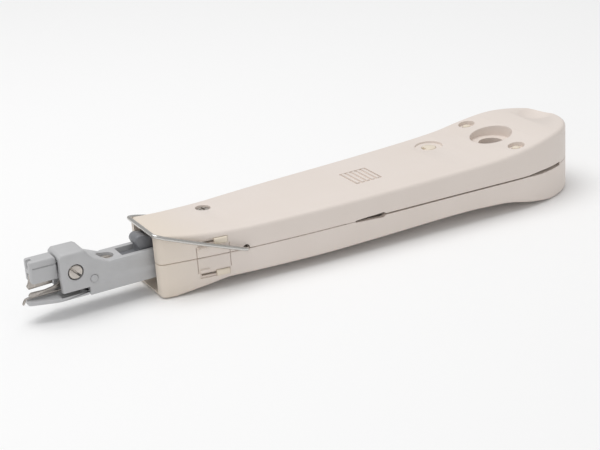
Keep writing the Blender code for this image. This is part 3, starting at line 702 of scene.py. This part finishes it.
def coil_points(radius, span, turns, axis, centre=(0, 0), per_turn=28, flat_turn=0.7):
    """The centre line of a compression spring; flat_turn is how much of a turn lies flat at each end."""
    points = []
    count = turns * per_turn
    flat = flat_turn / turns
    for i in range(count + 1):
        share = min(max((i / count - flat) / (1 - 2 * flat), 0), 1)
        along = span[0] + (span[1] - span[0]) * share
        angle = 2 * math.pi * turns * i / count
        around = (centre[0] + radius * math.cos(angle), centre[1] + radius * math.sin(angle))
        points.append((along, *around) if axis == "X" else (*around, along))
    return points


def make_springs():
    main = wire("main_spring_look", coil_points(3.4, (36.85, 66.95), 9, "X"), 0.55)
    finish(main, "handle", spring_wire, "spring_steel", "main_spring")
    small = wire("latch_spring_look", coil_points(1.3, (-2.97, -2.03), 2, "Z", (-1.0, 0), 20, 0), 0.18)
    finish(small, "head", spring_wire, "spring_steel", "latch_spring")


# Head pieces -----------------------------------------------------------------------------------------

def make_arm():
    outline = [(36, -5), (36, 3.3), (-11.6, 3.3), (-12.3, 3.45), (-16.3, 5.2), (-17.0, 5.8), (-18.4, 7.7),
               (-19.2, 8.2), (-25.2, 8.3), (-26, 7.6), (-26, -2.6), (-18.4, -2.6), (-18.4, -5)]
    arm = plate("head_arm_look", outline, "Y", (-ARM_Y, ARM_Y))

    def block_rim(spot, edge):
        along = abs((edge.verts[0].co - edge.verts[1].co).normalized().y)
        return along < 0.5 and abs(spot.y) > ARM_Y - 0.1 and spot.z > 3.2 and spot.x < -11

    round_some(arm, 0.75, 4, block_rim)
    cut(arm,
        block("channel", (-7.7, 30), CHANNEL_Y, (-3.5, 6)),
        block("under_web", (-19.2, -8.6), CHANNEL_Y, (-6, -0.3)),
        block("jaw_eye_room", (-19.2, -15.0), CHANNEL_Y, (-1, 1.6)),
        block("nose_room", (-27, -17.3), (-2.6, 2.6), (-6, 6.5)),
        bar("adjuster_recess", "Z", (ADJUSTER_X, 0), 2.35, (1.5, 6)),
        bar("adjuster_bore", "Z", (ADJUSTER_X, 0), 1.3, (-1, 5), 32),
        bar("clamp_recess", "Y", CLAMP_SCREW, 2.25, (-6, -2.84)),
        bar("clamp_bore", "Y", CLAMP_SCREW, CLAMP_BORE_R, (-6, 3.7), 32),
        bar("jaw_bore", "Y", JAW_PIVOT, JAW_BORE_R, (-6, 6), 32),
        bar("latch_bore", "Y", LATCH_PIVOT, LATCH_BORE_R, (-6, 6), 32),
        bar("rod_bore", "X", (0, 0), 2.3, (28, 40)),
        block("stop_slot", (19.8, STOP_PIN_X), (-6, 6), (-1.2, 1.2)),
        bar("stop_slot_front", "Y", (19.8, 0), 1.2, (-6, 6), 32),
        bar("stop_slot_rear", "Y", (STOP_PIN_X, 0), 1.2, (-6, 6), 32))
    clean(arm)
    soften(arm, 0.15, 2)
    finish(arm, "head", grey_nylon, "grey_plastic", "head_arm")


def make_nose():
    nose = block("nose_block_look", (-33.6, -26.3), (-NOSE_Y, NOSE_Y), (1.4, 7.7))
    round_some(nose, 0.6, 4, lambda spot, edge: spot.z > 7.5 or spot.x < -33.5)
    join(nose, block("nose_tail", (-28, -17.7), (-2.2, 2.2), (1.3, 6.1)))
    cut(nose,
        block("front_notch", (-35, -32.2), (-0.7, 0.7), (5.2, 9)),
        block("blade_slot", (-35, -27), (-0.7, 0.7), (0, 4.0)),
        bar("clamp_bore", "Y", CLAMP_SCREW, CLAMP_BORE_R, (-4, 4), 32),
        block("near_groove", (-32.8, -26), (-4, -2.0), (5.5, 5.9)),
        block("far_groove", (-32.8, -26), (2.0, 4), (5.5, 5.9)))
    clean(nose)
    soften(nose, 0.12, 2)
    finish(nose, "head", grey_nylon, "grey_plastic", "nose_block")


def make_blades():
    insertion = [(-34.4, 0.4), (-34.25, -0.1), (-34.0, -0.5), (-27.3, -0.3), (-27.3, 3.7), (-33.4, 3.7),
                 (-33.6, 2.2), (-33.9, 1.2)]
    piece = plate("insertion_blade_look", insertion, "Y", (-0.4, 0.4))
    soften(piece, 0.08, 2)
    finish(piece, "head", ground_steel, "steel", "insertion_blade")
    fixed = [(-34.6, -1.9), (-34.3, -1.4), (-33.8, -1.1), (-30.0, -1.2), (-28.0, -0.9), (-26.5, -0.5),
             (-25.0, 0.9), (-19.8, 0.9), (-19.8, -1.4), (-26.0, -1.6), (-30.0, -2.1), (-33.5, -2.4)]
    piece = plate("fixed_cutter_look", fixed, "Y", (-1.5, -0.9))
    soften(piece, 0.1, 2)
    finish(piece, "head", ground_steel, "steel", "fixed_cutter")
    moving = [(-36.3, -4.2), (-35.9, -3.4), (-35.4, -2.8), (-30.0, -2.4), (-24.0, -2.7), (-19.4, -2.7),
              (-19.4, -3.15), (-35.2, -3.15), (-35.45, -3.8), (-36.0, -4.6)]
    piece = plate("moving_cutter_look", moving, "Y", (-0.6, 0.0))
    soften(piece, 0.07, 2)
    finish(piece, "jaw", ground_steel, "steel", "moving_cutter")


def make_head_fittings():
    x, z = CLAMP_SCREW
    steps = [(-4.3, 1.6), (-4.22, 1.85), (-4.1, 1.95), (-2.87, 1.95), (-2.86, 1.1), (3.3, 1.1), (3.4, 0.9)]
    clamp = lathe("clamp_screw_look", "Y", CLAMP_SCREW, steps)
    groove = block("driver_slot", (x - 3, x + 3), (-5, -2.97), (z - 0.27, z + 0.27))
    turn(groove, math.radians(48), "Y", (x, 0, z))
    cut(clamp, groove)
    clean(clamp)
    soften(clamp, 0.06, 2)
    finish(clamp, "head", zinc_steel, "steel", "head_clamp_screw")

    steps = [(-0.1, 0.8), (0.1, 1.0), (1.8, 1.0), (1.81, 2.0), (2.45, 2.0), (2.65, 1.8), (2.7, 1.2)]
    adjuster = lathe("adjuster_look", "Z", (ADJUSTER_X, 0), steps)
    cut(adjuster, block("driver_slot", (ADJUSTER_X - 3, ADJUSTER_X + 3), (-0.25, 0.25), (2.25, 4)))
    clean(adjuster)
    soften(adjuster, 0.06, 2)
    finish(adjuster, "head", zinc_steel, "steel", "adjuster_screw")

    steps = [(-4.8, 0.5), (-4.74, 0.8), (-4.62, 0.98), (-4.45, 1.05), (-2.6, 1.05), (-2.59, 0.8), (4.2, 0.8),
             (4.35, 0.6)]
    pin = lathe("jaw_pin_look", "Y", JAW_PIVOT, steps, 32)
    finish(pin, "head", grey_nylon, "grey_plastic", "jaw_pivot_pin")
    pin = lathe("latch_pin_look", "Y", LATCH_PIVOT, [(-4.2, 0.8), (-4.0, 1.0), (4.0, 1.0), (4.2, 0.8)], 32)
    finish(pin, "head", zinc_steel, "steel", "latch_pin")
    rod = lathe("plunger_rod_look", "X", (0, 0), [(30.3, 1.7), (30.6, 2.0), (61.6, 2.0), (62.0, 1.6)])
    finish(rod, "head", zinc_steel, "steel", "plunger_rod")


def make_jaw():
    near = [(-34.9, -1.1), (-34.7, -1.6), (-34.2, -1.9), (-27.5, -4.3), (-26.8, -ARM_Y), (-18.8, -ARM_Y)]
    outline = near + [(x, -y) for x, y in reversed(near)]
    jaw = plate("lower_jaw_look", outline, "Z", (-4.7, -3.45))
    join(jaw, block("tail", (-20, -9.2), (-2.5, 2.5), (-4.6, -3.55)),
         block("eye", (-18.7, -15.4), (-2.5, 2.5), (-4.4, 1.0)))
    cut(jaw, bar("jaw_bore", "Y", JAW_PIVOT, JAW_BORE_R, (-6, 6), 32),
        block("near_trough", (-26.4, -18.9), (-3.9, -2.6), (-4.35, -3)),
        block("shadow_gap", (-26.6, -18.9), (-5, -3.5), (-3.75, -3)),
        block("far_trough", (-26.4, -18.9), (2.6, 3.9), (-4.35, -3)),
        block("front_trough", (-26.4, -20.3), (-3.9, 3.9), (-4.35, -3)))
    clean(jaw)
    soften(jaw, 0.15, 2)
    finish(jaw, "jaw", grey_nylon, "grey_plastic", "lower_jaw")


def arc(centre, radius, start, end, steps):
    """Points of an arc, angles in degrees."""
    angles = [math.radians(start + (end - start) * i / (steps - 1)) for i in range(steps)]
    return [(centre[0] + radius * math.cos(a), centre[1] + radius * math.sin(a)) for a in angles]


def make_latch():
    outline = [(9.3, -1.6), (9.3, 1.0), (3.4, 1.9), (2.8, 5.4)]
    outline += arc((1.9, 5.3), 0.9, 10, 70, 4) + arc((-1.9, 5.6), 1.6, 75, 185, 9)
    outline += [(-3.1, 4.4), (-2.5, 3.6), (-2.6, 2.0), (-6.9, 1.9), (-7.3, 1.5), (-7.3, -1.0), (-3.0, -1.6)]
    latch = plate("latch_lever_look", outline, "Y", (-2.4, 2.4))
    round_some(latch, 0.5, 4, lambda spot, edge: abs(spot.y) > 2.3 and spot.z > 2.5)
    cut(latch, bar("pin_bore", "Y", LATCH_PIVOT, LATCH_BORE_R, (-6, 6), 32))
    clean(latch)
    soften(latch, 0.15, 2)
    finish(latch, "latch", dark_acetal, "dark_plastic", "latch_lever")


# Bail, cut lock and fold-out tools -------------------------------------------------------------------

def make_bail():
    """One wire: from the near foot along the side, across the front lip, and back on the far side."""
    foot, front, reach, bow, corner, bend = 14.5, 9.2, 26.4, 0.8, 1.2, 1.5
    half = [(0, foot - 3.7), (0, foot - corner)]
    for a in range(12, 85, 12):
        across = foot - corner + corner * math.sin(math.radians(a))
        half.append((corner - corner * math.cos(math.radians(a)), across))
    half.append((2.2, foot))
    for i in range(1, 19):
        share = 0.1 + 0.8 * i / 18
        half.append((reach * share, foot + (front - foot) * share + bow * 4 * share * (1 - share)))
    for a in range(72, -1, -9):
        across = front - bend + bend * math.sin(math.radians(a))
        half.append((reach - bend + bend * math.cos(math.radians(a)), across))
    flat = half + [(along, -y) for along, y in reversed(half)]
    points = [(BAIL_PIVOT[0] - along * math.cos(BAIL_RISE), y, BAIL_PIVOT[1] + along * math.sin(BAIL_RISE))
              for along, y in flat]
    bail = wire("bail_wire_look", points, BAIL_WIRE_R, 5)
    finish(bail, "bail", nickel_wire, "steel", "bail_wire", smooth=60)


def make_cut_lock():
    slider = along_wall(block("cut_lock_look", (-7.6, 3.2), (2.3, 3.3), (-5.5, 4.6)))
    for low, high in TAB_HEIGHTS.values():
        middle = (low + high) / 2
        join(slider, along_wall(block("neck", (-1.7, 1.7), (0, 2.8), (middle - 0.2, middle + 0.2))))
        tab = block("thumb_tab", (-1.9, 1.9), (-0.62, 0.3), (low, high))
        round_some(tab, 0.3, 3, lambda spot, edge: spot.y < -0.5)
        join(slider, along_wall(tab))
    clean(slider)
    soften(slider, 0.08, 2)
    finish(slider, "cut_lock", pale_abs, "cream_plastic", "cut_lock_slider")


def make_fold_outs():
    tip = FOLD_X - FOLD_LENGTH
    hub = arc((FOLD_X, -FOLD_Y), 2.6, -140, 120, 27)
    blade = hub + [(FOLD_X - 6, -9.8), (tip + 5, -9.6), (tip + 1.5, -11), (tip, -12.4), (tip + 1.5, -14.3),
                   (FOLD_X - 6, -14.7)]
    hook = [(x, -y) for x, y in hub]
    hook += [(FOLD_X - 6, 11.5), (tip + 4, 11.5), (tip + 1, 11.6), (tip, 11.9), (tip - 0.5, 12.6),
             (tip - 0.5, 13.4), (tip - 0.2, 14.1), (tip + 0.4, 14.4), (tip + 2.6, 14.4), (tip + 2.6, 13.4),
             (tip + 1.2, 13.2), (tip + 4, 12.9), (tip + 9, 14.3), (FOLD_X - 6, 14.7)]
    for name, outline, side in (("release_blade", blade, -1), ("wire_hook", hook, 1)):
        obj = plate(name + "_look", outline, "Z", (-FOLD_HALF_THICK, FOLD_HALF_THICK))
        cut(obj, bar("pin_bore", "Z", (FOLD_X, side * FOLD_Y), FOLD_BORE_R, (-2, 2)))
        clean(obj)
        soften(obj, 0.08, 2)
        finish(obj, name, ground_steel, "steel", name)


# Stage -----------------------------------------------------------------------------------------------

def make_stage():
    bpy.ops.object.select_all(action="DESELECT")
    bpy.ops.mesh.primitive_plane_add(size=8, location=(0, 0, -0.0001))
    floor = take("pale_floor")
    material = bpy.data.materials.new("white_laminate")
    material.use_nodes = True
    tree = material.node_tree
    shader = tree.nodes["Principled BSDF"]
    where = add_node(tree, "ShaderNodeTexCoord").outputs["Object"]
    cloud = add_node(tree, "ShaderNodeTexNoise", {"Vector": where, "Scale": 3.0})
    parts = {0: cloud.outputs["Fac"], 6: colour("FAFAFA"), 7: colour("F8F8F8")}
    tint = add_node(tree, "ShaderNodeMix", parts, data_type="RGBA").outputs[2]
    tree.links.new(tint, shader.inputs["Base Color"])
    shader.inputs["Roughness"].default_value = 0.9
    shader.inputs["Specular IOR Level"].default_value = 0.1
    floor.data.materials.append(material)

    world = bpy.data.worlds.new("studio")
    bpy.context.scene.world = world
    world.use_nodes = True
    world.node_tree.nodes["Background"].inputs["Color"].default_value = colour("FFFFFF")
    world.node_tree.nodes["Background"].inputs["Strength"].default_value = 0.53


def softbox(name, place, size, power):
    """A square soft light that faces the middle of the tool."""
    light = bpy.data.lights.new(name, "AREA")
    light.size = size
    light.energy = power
    obj = bpy.data.objects.new(name, light)
    bpy.context.scene.collection.objects.link(obj)
    obj.location = place
    obj.rotation_euler = (-Vector(place)).to_track_quat("-Z", "Y").to_euler()


def make_camera():
    azimuth, elevation, roll = (math.radians(angle) for angle in (-27.785, 22.258, -4.138))
    back = Vector((math.sin(azimuth) * math.cos(elevation), -math.cos(azimuth) * math.cos(elevation),
                   math.sin(elevation)))
    right = Vector((0, 0, 1)).cross(back).normalized()
    up = back.cross(right)
    turned_right = right * math.cos(roll) + up * math.sin(roll)
    turned_up = up * math.cos(roll) - right * math.sin(roll)
    data = bpy.data.cameras.new("camera")
    data.sensor_width = 36
    data.lens = 91.98
    data.clip_start = 0.01
    camera = bpy.data.objects.new("camera", data)
    bpy.context.scene.collection.objects.link(camera)
    camera.matrix_world = (Matrix.Translation(at(-142.28, -361.76, 163.91))
                           @ Matrix((turned_right, turned_up, back)).transposed().to_4x4())
    bpy.context.scene.camera = camera


make_shell("top_shell_look", 1)
make_shell("bottom_shell_look", -1)
make_handle_fittings()
make_springs()
make_arm()
make_nose()
make_blades()
make_head_fittings()
make_jaw()
make_latch()
make_bail()
make_cut_lock()
make_fold_outs()

make_stage()
softbox("overhead", (-0.15, 0.1, 0.85), 0.7, 4.4)
softbox("front fill", (-0.8, -0.5, 0.35), 0.5, 0.3)
make_camera()
bpy.context.scene.view_settings.view_transform = "Standard"
